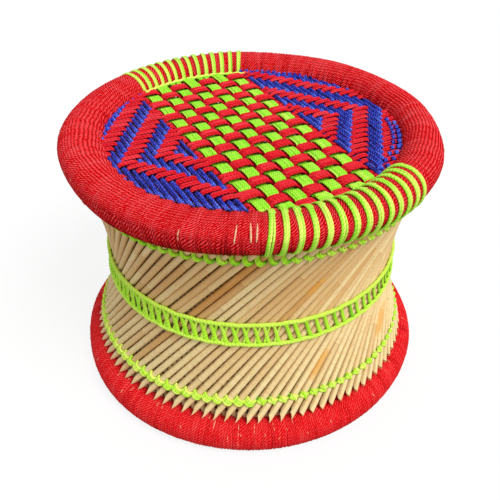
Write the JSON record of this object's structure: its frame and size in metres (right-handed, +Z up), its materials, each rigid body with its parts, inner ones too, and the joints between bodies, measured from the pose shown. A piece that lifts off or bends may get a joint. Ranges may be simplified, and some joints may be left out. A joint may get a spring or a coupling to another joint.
{
  "type": "mudda stool",
  "caption": "Waisted reed stool with cord-wound rings at top and foot, reeds leaning opposite ways in two layers, and a woven cord seat with a checked middle and chevron sides.",
  "frame": {"origin": "centre of the footprint, on the ground", "axes": "+Z up; +Y along the seat's warps, towards the back green winding; +X along the wefts"},
  "size_m": [0.463, 0.463, 0.3401],
  "materials": {
    "red_cord": "twisted synthetic cord, slightly glossy",
    "green_cord": "twisted synthetic cord, slightly glossy",
    "blue_cord": "twisted synthetic cord, slightly glossy",
    "reed": "dry straw-coloured reed, satin",
    "bamboo": "split bamboo, matt",
    "grass": "dry grass bundle, matt"
  },
  "bodies": {
    "root": {"base_winding": "red_cord", "base_bundle": "grass", "rim_winding": "red_cord", "rim_bundle": "grass", "outer_reeds": "reed", "inner_reeds": "reed", "lower_hoop": "bamboo", "lower_tie": "green_cord", "upper_tie": "green_cord", "waist_cord_lower": "green_cord", "waist_cord_upper": "green_cord", "waist_lacing": "green_cord", "green_winding_front": "green_cord", "green_winding_back": "green_cord", "green_warp_1": "green_cord", "green_warp_2": "green_cord", "green_warp_3": "green_cord", "green_warp_4": "green_cord", "green_warp_5": "green_cord", "green_warp_6": "green_cord", "green_warp_7": "green_cord", "red_weft_01": "red_cord", "red_weft_02": "red_cord", "red_weft_03": "red_cord", "red_weft_04": "red_cord", "red_weft_05": "red_cord", "red_weft_06": "red_cord", "red_weft_07": "red_cord", "red_weft_08": "red_cord", "red_weft_09": "red_cord", "red_weft_10": "red_cord", "red_weft_11": "red_cord", "red_weft_12": "red_cord", "red_weft_13": "red_cord", "red_weft_14": "red_cord", "red_weft_15": "red_cord", "red_weft_16": "red_cord", "red_weft_17": "red_cord", "blue_web_right": "blue_cord", "blue_web_left": "blue_cord"}
  },
  "joints": []
}
